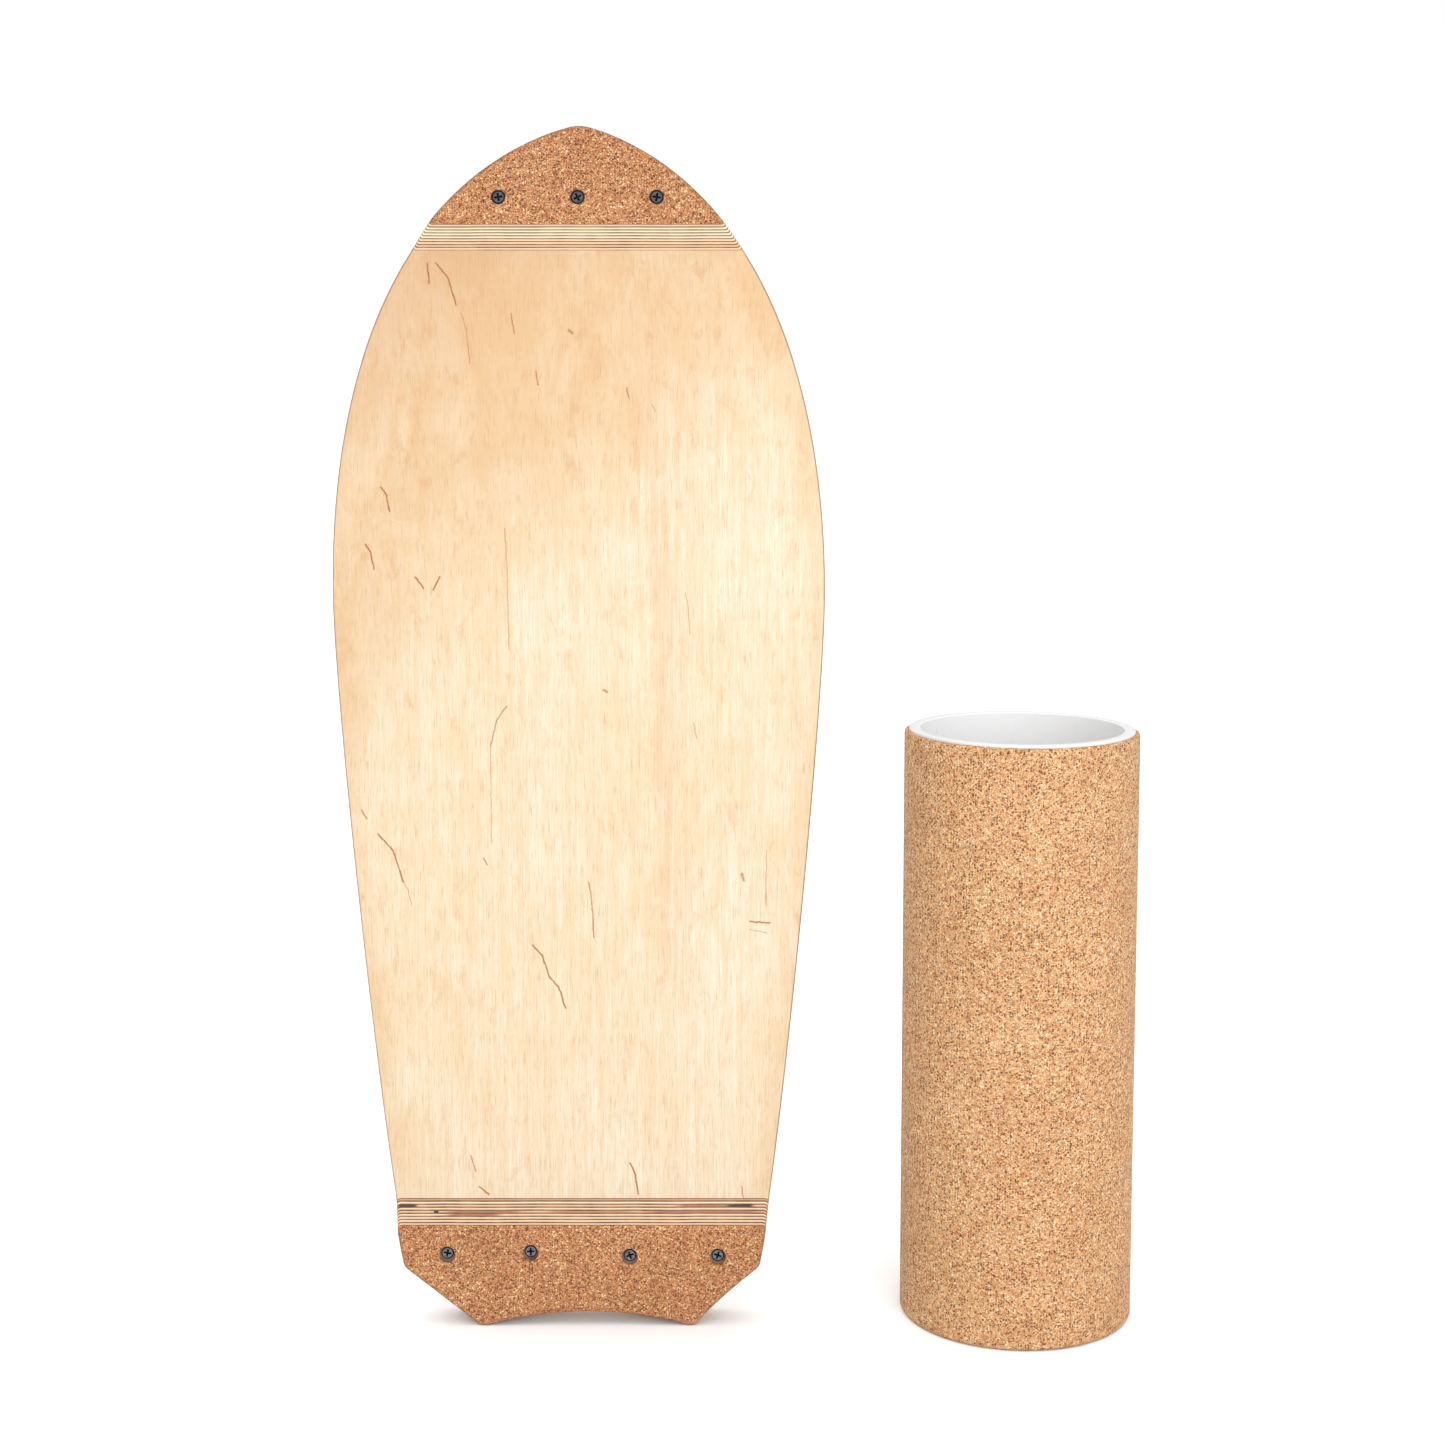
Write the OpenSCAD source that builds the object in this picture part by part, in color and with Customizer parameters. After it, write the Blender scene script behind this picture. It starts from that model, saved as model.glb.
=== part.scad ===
// Balance board: a plywood deck with a bevelled stop at each end of its underside, and a
// cork-covered tube that it rides on. Millimetres, +Z up. The deck stands on its tail with
// its underside towards -Y, and the roller stands on end beside it, to the +X side.
// The origin is on the floor, midway across the set, in the plane of the roller's axis.

/* [Deck] */
// Width of the deck at its widest
deck_w = 301.5; // [280:0.5:320]
// Thickness of the deck panel
deck_t = 15; // [14:0.5:18]
// Height at which the two straight lines of the nose would meet
nose_point_z = 741.5; // [735:0.1:750]
// How far the nose leans to the right of the centre line
nose_lean = 2.7; // [0:0.1:5]
// Radius that rounds the nose
nose_r = 24; // [10:1:30]
// Height of the deck's widest place above the tail
widest_z = 458.5; // [430:0.5:480]
// Half the deck's width where its sides meet the tail
tail_half_w = 111; // [100:1:120]
// Height of the tail's outer corners
tail_corner_z = 38; // [34:0.5:42]
// Radius of the tail's outer corners
tail_corner_r = 7; // [3:0.5:8]
// How far the deck's upper face is behind the roller's axis, negative in front of it
deck_top_y = -3; // [-10:0.5:20]

/* [Swallow tail] */
// Distance of the left tip from the centre line
left_tip_x = 61; // [55:0.5:66]
// Distance of the right tip from the centre line
right_tip_x = 68; // [60:0.5:72]
// Radius of the left tip
left_tip_r = 7; // [4:0.5:8]
// Radius of the right tip
right_tip_r = 5; // [4:0.5:8]
// Height of the hollow between the tips, at its middle
hollow_z = 8.9; // [6:0.1:10]

/* [Stops] */
// Thickness of the plywood stop blocks
block_t = 12; // [11:0.5:15]
// Thickness of the cork pads on the stops
pad_t = 3; // [2:0.5:4]
// Height of the nose stop's lower edge, on the deck
nose_stop_z = 667.7; // [655:0.1:675]
// Rise of the nose stop's bevel over the thickness of its block
nose_bevel = 15.1; // [10:0.1:18]
// Height of the tail stop's upper edge, on the deck
tail_stop_z = 77.5; // [72:0.5:90]
// Drop of the tail stop's bevel over the thickness of its block
tail_bevel = 13.4; // [10:0.1:18]

/* [Screws] */
// Length of a screw
screw_l = 25; // [18:0.5:25]
// Radius of a screw's head
head_r = 3.9; // [3.6:0.05:4.2]
// Radius over a screw's thread
thread_r = 1.8; // [1.6:0.05:2]
// How far the nose stop's heads sit below the face of the cork
nose_head_sink = 1.8; // [0.5:0.1:2.6]
// How far the tail stop's heads sit below the face of the cork
tail_head_sink = 2.6; // [0.5:0.1:2.8]
// Radius of the holes in the nose stop's cork
nose_hole_r = 4.4; // [4.4:0.1:5.5]
// Radius of the holes in the tail stop's cork
tail_hole_r = 5.1; // [4.4:0.1:5.5]
// Height of the nose stop's three screws
nose_screw_z = 698.7; // [690:0.1:702]

/* [Roller] */
// Length of the roller
roller_l = 374; // [340:1:400]
// Outer diameter of the plastic tube
tube_d = 140; // [120:1:160]
// Wall of the plastic tube
tube_wall = 6.7; // [4:0.1:9]
// Thickness of the cork around the tube
cork_t = 3; // [2:0.5:4]
// How far the tube stands out of the cork at its upper end
top_proud = 1.5; // [0.5:0.5:4]
// How far the tube stands out of the cork at its foot
foot_proud = 0.5; // [0.5:0.5:4]
// Radius of the cork's rounded ends
cork_edge_r = 2; // [0.5:0.1:2]
// Distance between the deck's centre line and the roller's axis
spacing = 274.4; // [240:0.2:320]

/* [Hidden] */

// Places along Y, from the deck's upper face to the face of the cork pads.
deck_under_y = deck_top_y - deck_t;
block_face_y = deck_under_y - block_t;
pad_face_y = block_face_y - pad_t;

// Places along X.
half_w = deck_w / 2;
roller_r = tube_d / 2 + cork_t;
set_w = half_w + spacing + roller_r;
deck_x = half_w - set_w / 2;
roller_x = set_w / 2 - roller_r;

// Handles of the outline's curves.
nose_handle = [101.1, 26.1];
upper_side_handle = 145.4;
lower_side_handle = 71;
tail_side_handle = [12.8, 60];
nose_start = 0.05;
right_facet_bend = [86.5, 18.5];

// The screws of a stop at their places [x, z, turn of the cross], from left to right, with the
// depth of their heads and the radius of the holes in the cork.
function screws(places, sink, hole_r) = [for (p = places) concat(p, [sink, hole_r])];
nose_screws = screws([[-45.7, nose_screw_z, 8], [1.5, nose_screw_z, 28], [48.7, nose_screw_z, 80]],
                     nose_head_sink, nose_hole_r);
tail_screws = screws([[-84, 46.5, 80], [-32, 47.5, 5], [30, 45, 20], [85, 45, 70]],
                     tail_head_sink, tail_hole_r);

// One screw: its head's shape as [share of the head's radius, depth], thread, tip and cross.
head_h = 3.4;
head_rim = [1, 0.4];
head_flare = [0.76, 1.1];
head_neck = [0.58, 2];
thread_depth = 0.55;
thread_pitch = 1.8;
plain_l = 0.6;
tip_l = 5;
cross_l = 4.6;
cross_w = 1;
cross_depth = 1.8;

// Room around a screw: in the wood, and under its head.
wood_clear = 0.05;
head_clear = 0.1;

// Lengths that only have to pass through or reach past the wood.
past = 1;
far = 400;

round_fn = 96;

tint_birch = "#e2c79b";
tint_ply = "#cfa878";
tint_pad = "#a4714a";
tint_sleeve = "#b98a5c";
tint_screw = "#3c3d40";
tint_tube = "#eeeeec";

// Points of an arc around c, from angle a0 to angle a1.
function arc(c, r, a0, a1, n) =
    [for (i = [0:n]) let (a = a0 + (a1 - a0) * i / n) c + r * [cos(a), sin(a)]];

// Points of a cubic curve, from t0 to the end.
function curve(p0, p1, p2, p3, n, t0 = 0) =
    [for (i = [0:n])
        let (t = t0 + (1 - t0) * i / n, s = 1 - t)
        s * s * s * p0 + 3 * s * s * t * p1 + 3 * s * t * t * p2 + t * t * t * p3];

// Points of a quadratic curve.
function bend(p0, p1, p2, n) =
    [for (i = [0:n]) let (t = i / n, s = 1 - t) s * s * p0 + 2 * s * t * p1 + t * t * p2];

// Points that round the corner b, between the lines from a and to c, with radius r.
function rounded(a, b, c, r, n) =
    let (
        u = (a - b) / norm(a - b),
        v = (c - b) / norm(c - b),
        half = acos(u * v) / 2,
        w = (u + v) / norm(u + v),
        centre = b + w * r / sin(half),
        side = sign(u[0] * v[1] - u[1] * v[0]),
        mid = atan2(-w[1], -w[0])
    )
    arc(centre, r, mid + side * (90 - half), mid - side * (90 - half), n);

// Points of the hollow between two tips, a single arc that rises to hollow_z.
function hollow(from, to, n) =
    let (
        c = (to[0] - from[0]) / 2,
        rise = hollow_z - (from[1] + to[1]) / 2,
        r = (c * c + rise * rise) / (2 * rise),
        a = asin(c / r)
    )
    arc([(from[0] + to[0]) / 2, hollow_z - r], r, 90 + a, 90 - a, n);

// The nose and side of one half, from the nose down to the tail: side is 1 for +X, -1 for -X.
function nose_side(side) =
    curve([nose_lean, nose_point_z],
          [side * nose_handle[0], nose_point_z - nose_handle[1]],
          [side * half_w, widest_z + upper_side_handle],
          [side * half_w, widest_z], 30, nose_start);
function lower_side(side) =
    curve([side * half_w, widest_z],
          [side * half_w, widest_z - lower_side_handle],
          [side * (tail_half_w + tail_side_handle[0]), tail_corner_z + tail_side_handle[1]],
          [side * tail_half_w, tail_corner_z], 20);

function without_ends(list) = [for (i = [1:len(list) - 2]) list[i]];
function reversed(list) = [for (i = [len(list) - 1:-1:0]) list[i]];
function last(list) = list[len(list) - 1];

// The deck's whole outline as [x, z], clockwise from the nose.
right_nose = nose_side(1);
left_nose = nose_side(-1);
right_side = without_ends(lower_side(1));
left_side = without_ends(lower_side(-1));
right_tip = arc([right_tip_x, right_tip_r], right_tip_r, 312, 254, 8);
left_tip = arc([-left_tip_x, left_tip_r], left_tip_r, 286, 231, 8);
right_corner = [tail_half_w, tail_corner_z];
left_corner = [-tail_half_w, tail_corner_z];
right_facet = without_ends(bend(right_corner, right_facet_bend, right_tip[0], 8));
outline = concat(
    rounded(left_nose[0], [nose_lean, nose_point_z], right_nose[0], nose_r, 10),
    right_nose,
    right_side,
    rounded(last(right_side), right_corner, right_facet[0], tail_corner_r, 8),
    right_facet,
    right_tip,
    reversed(without_ends(hollow(left_tip[0], last(right_tip), 24))),
    left_tip,
    rounded(last(left_tip), left_corner, last(left_side), tail_corner_r, 8),
    reversed(left_side),
    reversed(left_nose));

// A slab of the deck's outline between two places along Y.
module outline_slab(back_y, front_y) {
    translate([deck_x, back_y, 0])
        rotate([90, 0, 0])
            linear_extrude(back_y - front_y)
                polygon(outline);
}

// The space behind a bevel that rises from z0 at the deck's underside, over the full width.
// reach is the bevel's travel along Z over one block thickness, and far_z the stop's far side.
module bevel_wedge(z0, reach, far_z) {
    slope = reach / block_t;
    front = pad_face_y - past;
    back = deck_under_y + past;
    translate([deck_x - half_w - past, 0, 0])
        rotate([90, 0, 90])
            linear_extrude(deck_w + 2 * past)
                polygon([[back, z0 - slope * past],
                         [front, z0 + slope * (deck_under_y - front)],
                         [front, far_z],
                         [back, far_z]]);
}

// Places one screw's shape, axis along +Z, so that its tip points into the wood.
module at_screw(s) {
    sink = s[3];
    translate([deck_x + s[0], pad_face_y + sink, s[1]])
        rotate([-90, 0, 0])
            rotate(s[2])
                children();
}

// The outline of a bugle head and its clearance, as [r, depth] points.
function head_profile(grow) = concat(
    [[head_r + grow, 0]],
    [for (p = [head_rim, head_flare, head_neck]) [head_r * p[0] + grow, p[1]]],
    [[thread_r + grow, head_h]]);

// The holes for one screw: through the block, and into the deck without breaking out.
module screw_hole(s) {
    at_screw(s) {
        cylinder(h = screw_l + past, r = thread_r + wood_clear, $fn = round_fn);
        rotate_extrude($fn = round_fn)
            polygon(concat([[0, 0]], head_profile(head_clear), [[0, head_h]]));
    }
}

// The hole through the cork pad over one screw.
module pad_hole(s) {
    sink = s[3];
    hole_r = s[4];
    at_screw(s)
        translate([0, 0, -sink - past])
            cylinder(h = pad_t + 2 * past, r = hole_r, $fn = round_fn);
}

// One thread ring, as [r, depth] points, smaller towards the screw's tip.
function ring(depth) =
    let (
        k = min(1, (screw_l - depth - thread_pitch) / tip_l),
        root = (thread_r - thread_depth) * k,
        half_base = thread_pitch / 3
    )
    [[root, depth], [thread_r * k, depth + half_base], [root, depth + 2 * half_base]];

// A screw with a bugle head, a cross recess and a ring for each turn of its thread.
module screw(s) {
    first = head_h + plain_l;
    turns = floor((screw_l - first) / thread_pitch - 1.5);
    color(tint_screw)
        at_screw(s)
            difference() {
                rotate_extrude($fn = round_fn)
                    polygon(concat(
                        [[0, 0]],
                        head_profile(0),
                        [for (i = [0:turns]) each ring(first + i * thread_pitch)],
                        [[0, screw_l]]));
                translate([0, 0, (cross_depth - past) / 2]) {
                    cube([cross_l, cross_w, cross_depth + past], center = true);
                    cube([cross_w, cross_l, cross_depth + past], center = true);
                }
            }
}

module deck_panel() {
    color(tint_birch)
        difference() {
            outline_slab(deck_top_y, deck_under_y);
            for (s = concat(nose_screws, tail_screws))
                screw_hole(s);
        }
}

module nose_stop_block() {
    color(tint_ply)
        difference() {
            intersection() {
                outline_slab(deck_under_y, block_face_y);
                bevel_wedge(nose_stop_z, nose_bevel, nose_stop_z + far);
            }
            for (s = nose_screws)
                screw_hole(s);
        }
}

module nose_cork_pad() {
    color(tint_pad)
        difference() {
            intersection() {
                outline_slab(block_face_y, pad_face_y);
                bevel_wedge(nose_stop_z, nose_bevel, nose_stop_z + far);
            }
            for (s = nose_screws)
                pad_hole(s);
        }
}

module tail_stop_block() {
    color(tint_ply)
        difference() {
            intersection() {
                outline_slab(deck_under_y, block_face_y);
                bevel_wedge(tail_stop_z, -tail_bevel, tail_stop_z - far);
            }
            for (s = tail_screws)
                screw_hole(s);
        }
}

module tail_cork_pad() {
    color(tint_pad)
        difference() {
            intersection() {
                outline_slab(block_face_y, pad_face_y);
                bevel_wedge(tail_stop_z, -tail_bevel, tail_stop_z - far);
            }
            for (s = tail_screws)
                pad_hole(s);
        }
}

module roller_tube() {
    color(tint_tube)
        translate([roller_x, 0, 0])
            difference() {
                cylinder(h = roller_l, r = tube_d / 2, $fn = round_fn);
                translate([0, 0, -past])
                    cylinder(h = roller_l + 2 * past, r = tube_d / 2 - tube_wall, $fn = round_fn);
            }
}

module roller_cork_sleeve() {
    top_z = roller_l - top_proud;
    rim_r = roller_r - cork_edge_r;
    color(tint_sleeve)
        translate([roller_x, 0, 0])
            rotate_extrude($fn = round_fn)
                polygon(concat(
                    [[tube_d / 2, foot_proud]],
                    arc([rim_r, foot_proud + cork_edge_r], cork_edge_r, -90, 0, 8),
                    arc([rim_r, top_z - cork_edge_r], cork_edge_r, 0, 90, 8),
                    [[tube_d / 2, top_z]]));
}

deck_panel();
nose_stop_block();
nose_cork_pad();
tail_stop_block();
tail_cork_pad();
screw(nose_screws[0]);  // nose_screw_left
screw(nose_screws[1]);  // nose_screw_middle
screw(nose_screws[2]);  // nose_screw_right
screw(tail_screws[0]);  // tail_screw_outer_left
screw(tail_screws[1]);  // tail_screw_inner_left
screw(tail_screws[2]);  // tail_screw_inner_right
screw(tail_screws[3]);  // tail_screw_outer_right
roller_tube();
roller_cork_sleeve();
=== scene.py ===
"""Looks of a balance board and its roller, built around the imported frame. Metres, +Z up.

Every piece is made here in mesh code from what the frame says: the deck's outline, the bevels of
its two stops, the places of the screws, and the axis and sizes of the roller.
"""
import math

import bmesh
import bpy
import numpy as np
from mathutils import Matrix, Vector, geometry, noise


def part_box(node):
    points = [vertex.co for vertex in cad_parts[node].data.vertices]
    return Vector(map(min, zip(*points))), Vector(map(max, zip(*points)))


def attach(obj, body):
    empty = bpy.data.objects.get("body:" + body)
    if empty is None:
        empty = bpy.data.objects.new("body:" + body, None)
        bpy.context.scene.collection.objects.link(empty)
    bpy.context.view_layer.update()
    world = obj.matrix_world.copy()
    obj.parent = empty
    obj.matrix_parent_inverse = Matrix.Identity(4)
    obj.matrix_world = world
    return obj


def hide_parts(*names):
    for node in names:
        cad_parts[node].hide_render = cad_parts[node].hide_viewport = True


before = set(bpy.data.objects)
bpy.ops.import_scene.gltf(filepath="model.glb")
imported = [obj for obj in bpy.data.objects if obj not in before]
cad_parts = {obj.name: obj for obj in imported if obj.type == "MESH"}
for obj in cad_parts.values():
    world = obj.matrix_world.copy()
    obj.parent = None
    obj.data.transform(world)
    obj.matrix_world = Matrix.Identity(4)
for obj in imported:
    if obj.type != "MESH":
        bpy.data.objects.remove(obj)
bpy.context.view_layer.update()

MM = 0.001

# The rounds of the deck's and the stops' edges, and how far a cork pad's straight edge is set back.
DECK_ROUND = 1.5 * MM
STOP_ROUND = 3.2 * MM
STOP_ROUND_DEPTH = 1.8 * MM
STOP_CORNER = 3.4 * MM
CORK_LIP = 0.5 * MM

# The mesh's fineness: the outline's steps, the points along a stop's side, along its straight edge
# and around the tube, a round's steps, the flat strip beside a round, the spacing of points on the
# cork and on the veneer, and the depth of the cork's grain.
OUTLINE_STEP = 1.25 * MM
SIDE_POINTS = 420
STRAIGHT_POINTS = 120
TUBE_POINTS = 192
ROUND_STEPS = 6
RIM_MARGIN = 0.5 * MM
CORK_GRID = 1.3 * MM
DECK_GRID = 9 * MM
RELIEF = 0.14 * MM

# A screw, with lengths in the three lists in millimetres: its head's cone as (share of the head's
# radius, depth), the edge of its face as (distance in from the rim, depth), its cross recess as
# (half length, half width, depth), and its thread. ROUND is the number of points around it.
HEAD_SHAPE = [(1, 0.4), (0.76, 1.1), (0.58, 2.0)]
HEAD_EDGE = [(0.95, 0), (0.5, 0.01), (0.22, 0.04), (0.06, 0.12)]
RECESS = [(2.5, 0.66, 0), (2.35, 0.5, 0.14), (1.9, 0.42, 1.2), (1.0, 0.36, 1.9)]
HEAD_HEIGHT = 3.4 * MM
THREAD_R = 1.8 * MM
THREAD_DEPTH = 0.5 * MM
THREAD_PITCH = 1.8 * MM
TIP_LENGTH = 5 * MM
HOLE_CLEARANCE = 0.08 * MM
ROUND = 48

# The screws and the turn of each one's cross, in degrees.
NOSE_SCREWS = {"nose_screw_left": 8, "nose_screw_middle": 28, "nose_screw_right": 80}
TAIL_SCREWS = {"tail_screw_outer_left": 80, "tail_screw_inner_left": 5,
               "tail_screw_inner_right": 20, "tail_screw_outer_right": 70}

# How many times brighter than its own colour an upright white surface looks under the lights, the
# strength of the even light from all round, and how far the tones of plywood's layers are lifted
# to make up for the dark glue between them.
LIGHT_LEVEL = 1.6
AMBIENT = 0.72
LAYER_LIFT = 1.05

deck_low, deck_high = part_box("deck_panel")
deck_x = (deck_low.x + deck_high.x) / 2
deck_top = deck_high.y
deck_under = deck_low.y
tube_low, tube_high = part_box("roller_tube")
roller_x = (tube_low.x + tube_high.x) / 2


# ---- Mesh building -------------------------------------------------------------------------

class Shell:
    """A closed mesh in the making: rings of points, joined by strips and closed by caps."""

    def __init__(self):
        self.points = []
        self.faces = []

    def ring(self, points):
        """Adds points and returns their numbers."""
        first = len(self.points)
        self.points.extend(tuple(map(float, p)) for p in points)
        return list(range(first, len(self.points)))

    def strip(self, a, b):
        """Joins two closed rings of the same count."""
        for i in range(len(a)):
            j = (i + 1) % len(a)
            self.faces.append((a[i], a[j], b[j], b[i]))

    def flat(self, ids):
        """Points as seen from the front, as (x, z) in millimetres."""
        return [(self.points[i][0] / MM, self.points[i][2] / MM) for i in ids]

    def cap(self, rim, holes=(), inner=()):
        """Fills a flat ring with triangles, around its holes and through its inner points."""
        loops = [rim, *holes]
        ids = [i for loop in loops for i in loop] + list(inner)
        flat = [Vector(place) for place in self.flat(ids)]
        edges = []
        for loop in loops:
            start = len(edges)
            edges += [(start + k, start + (k + 1) % len(loop)) for k in range(len(loop))]
        made = geometry.delaunay_2d_cdt(flat, edges, [], 1, 1e-4)
        corners = np.array([made[0][i] for triangle in made[2] for i in triangle])
        centres = corners.reshape(-1, 3, 2).mean(1)
        solid = np.ones(len(centres), bool)
        for hole in holes:
            solid &= ~inside(centres, np.array(self.flat(hole)))
        for triangle, keep in zip(made[2], solid):
            if keep:
                self.faces.append(tuple(ids[made[3][i][0]] for i in triangle))

    def piece(self, name, paint, body, slot, *nodes, **masks):
        """Makes the object, gives it its material, and hangs it on its CAD body. A mask is a
        value for each point, which the material reads by the mask's name."""
        mesh = bpy.data.meshes.new(name)
        mesh.from_pydata(self.points, [], self.faces)
        made = bmesh.new()
        made.from_mesh(mesh)
        bmesh.ops.recalc_face_normals(made, faces=made.faces)
        made.to_mesh(mesh)
        made.free()
        mesh.shade_smooth()
        mesh.set_sharp_from_angle(angle=math.radians(38))
        for mask, values in masks.items():
            mesh.attributes.new(mask, "FLOAT", "POINT").data.foreach_set("value", values)
        mesh.materials.append(paint)
        piece = bpy.data.objects.new(name, mesh)
        bpy.context.scene.collection.objects.link(piece)
        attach(piece, body)
        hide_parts(*nodes)

    def rim(self, outline):
        """How far each point is from the deck's outline, seen from the front."""
        return gap_to(np.array(self.points)[:, [0, 2]], outline)


def inside(points, loop):
    """Which points lie inside a closed loop."""
    x, z = points[:, 0][:, None], points[:, 1][:, None]
    a, b = loop, np.roll(loop, -1, 0)
    crosses = (a[:, 1] > z) != (b[:, 1] > z)
    rise = np.where(b[:, 1] == a[:, 1], 1, b[:, 1] - a[:, 1])
    return (crosses & (x < a[:, 0] + (z - a[:, 1]) / rise * (b[:, 0] - a[:, 0]))).sum(1) % 2 == 1


def gap_to(points, loop):
    """The distance from each point to a loop of closely spaced points."""
    return np.concatenate([
        np.sqrt(((part[:, None] - loop[None]) ** 2).sum(2).min(1))
        for part in np.array_split(points, max(1, len(points) // 500))])


def resample(path, count, trim=0):
    """An open path again, as count evenly spaced points, without a stretch at each of its ends."""
    along = np.concatenate([[0], np.cumsum(np.linalg.norm(np.diff(path, axis=0), axis=1))])
    at = np.linspace(trim, along[-1] - trim, count)
    return np.stack([np.interp(at, along, path[:, axis]) for axis in (0, 1)], 1)


def smooth_loop(points, step):
    """A centripetal Catmull-Rom curve through a closed loop, as evenly spaced points."""
    dense = []
    for i in range(len(points)):
        a, b, c, d = (points[(i + k) % len(points)] for k in (-1, 0, 1, 2))
        t1, t2, t3 = np.cumsum([math.dist(*pair) ** 0.5 for pair in ((a, b), (b, c), (c, d))])
        t = np.linspace(t1, t2, 4 + int(math.dist(b, c) / step))[:-1, None]
        ab = ((t1 - t) * a + t * b) / t1
        bc = ((t2 - t) * b + (t - t1) * c) / (t2 - t1)
        cd = ((t3 - t) * c + (t - t2) * d) / (t3 - t2)
        abc = ((t2 - t) * ab + t * bc) / t2
        bcd = ((t3 - t) * bc + (t - t1) * cd) / (t3 - t1)
        dense.append(((t2 - t) * abc + (t - t1) * bcd) / (t2 - t1))
    closed = np.vstack(dense + [dense[0][:1]])
    length = np.linalg.norm(np.diff(closed, axis=0), axis=1).sum()
    return resample(closed, int(length / step) + 1)[:-1]


def deck_outline():
    """The deck's outline as (x, z) points, anticlockwise, from its CAD node's flat upper face."""
    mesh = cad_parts["deck_panel"].data
    # The edges that two of its faces share cancel out, and those that are left are the outline.
    edges = {}
    for face in mesh.polygons:
        corners = [mesh.vertices[i].co for i in face.vertices]
        if all(abs(co.y - deck_top) < 0.01 * MM for co in corners):
            places = [(round(co.x, 5), round(co.z, 5)) for co in corners]
            for a, b in zip(places, places[1:] + places[:1]):
                if edges.get(b) is not None and a in edges[b]:
                    edges[b].remove(a)
                else:
                    edges.setdefault(a, []).append(b)
    follows = {a: ends[0] for a, ends in edges.items() if ends}
    start = min(follows)
    loop = [start]
    while follows[loop[-1]] != start:
        loop.append(follows[loop[-1]])
    loop = np.array(loop)
    after = np.roll(loop, -1, 0)
    area = (loop[:, 0] * after[:, 1] - after[:, 0] * loop[:, 1]).sum()
    loop = smooth_loop(loop if area > 0 else loop[::-1], OUTLINE_STEP)
    return np.clip(loop, [deck_low.x, deck_low.z], [deck_high.x, deck_high.z])


def inset(loop, depth):
    """An anticlockwise loop moved inwards by depth, one value or one for each point."""
    along = np.roll(loop, -1, 0) - np.roll(loop, 1, 0)
    inward = np.stack([-along[:, 1], along[:, 0]], 1) / np.linalg.norm(along, axis=1)[:, None]
    return loop + inward * np.reshape(depth, (-1, 1))


def at_y(loop, y):
    """A loop of (x, z) points as 3D points at one place along Y."""
    return [(x, y, z) for x, z in loop]


def ease(low, high, value):
    """0 below low, 1 above high, and smooth between."""
    t = np.clip((value - low) / (high - low), 0, 1)
    return t * t * (3 - 2 * t)


def quarter(steps):
    """The share of a round's width and of its depth at each step of a quarter circle."""
    turns = [math.pi / 2 * i / steps for i in range(steps + 1)]
    return [(1 - math.cos(t), math.sin(t)) for t in turns]


def scatter(loop, holes, step, margin, seed):
    """Jittered grid points inside a loop, away from its rim and from its holes."""
    rng = np.random.default_rng(seed)
    low, high = loop.min(0), loop.max(0)
    grid = np.stack(np.meshgrid(np.arange(low[0], high[0], step), np.arange(low[1], high[1], step)), 2)
    points = grid.reshape(-1, 2) + rng.uniform(-0.3, 0.3, (grid.size // 2, 2)) * step
    points = points[inside(points, loop)]
    for rim in [loop, *holes]:
        points = points[gap_to(points, rim) > margin]
    for hole in holes:
        points = points[~inside(points, hole)]
    return points


def granule_relief(place, size):
    """How deep the surface of cork lies at a place: 0 on a granule's crown, 1 between granules."""
    near = noise.voronoi(Vector(place) / size)[0]
    return 1 - min(1, (near[1] - near[0]) * 1.6)


def plate(levels, holes=(), inner=None, relief=None):
    """A flat solid through levels of (loop, y), from back to front, with holes in its front.
    A hole is a list of (loop, y) from the front; it goes through if it ends in the back face."""
    shell = Shell()
    rings = [shell.ring(at_y(loop, y)) for loop, y in levels]
    for a, b in zip(rings, rings[1:]):
        shell.strip(a, b)
    open_back = []
    open_front = []
    for hole in holes:
        walls = [shell.ring(at_y(loop, y)) for loop, y in hole]
        for a, b in zip(walls, walls[1:]):
            shell.strip(a, b)
        open_front.append(walls[0])
        if abs(hole[-1][1] - levels[0][1]) < 1e-9:
            open_back.append(walls[-1])
        else:
            shell.cap(walls[-1])
    shell.cap(rings[0], open_back)
    front = levels[-1][1]
    points = [] if inner is None else [
        (x, front + (relief * granule_relief((x, front, z), CORK_GRID * 1.3) if relief else 0), z)
        for x, z in inner]
    shell.cap(rings[-1], open_front, shell.ring(points))
    return shell


# ---- Screws --------------------------------------------------------------------------------

def screw_place(node):
    """Where a screw's head is, its head's radius, and its length."""
    low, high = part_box(node)
    return Vector(((low.x + high.x) / 2, low.y, (low.z + high.z) / 2)), (high.x - low.x) / 2, high.y - low.y


def head_radius(depth, head_r):
    """The bugle head's radius at a depth below its face."""
    depths = [0] + [d * MM for _, d in HEAD_SHAPE] + [HEAD_HEIGHT]
    radii = [head_r] + [share * head_r for share, _ in HEAD_SHAPE] + [THREAD_R]
    return float(np.interp(depth, depths, radii))


def circle(node, radius_x, radius_z=None, wobble=0, drop=0):
    """A ring of (x, z) points around a screw's axis, uneven by wobble, its centre lower by drop."""
    centre = screw_place(node)[0]
    ring = []
    for i in range(ROUND):
        turn = math.tau * i / ROUND
        stray = wobble * noise.noise((math.cos(turn) * 1.7 + centre.x / MM, math.sin(turn) * 1.7, 0))
        ring.append((centre.x + (radius_x + stray) * math.cos(turn),
                     centre.z - drop + ((radius_z or radius_x) + stray) * math.sin(turn)))
    return np.array(ring)


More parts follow.
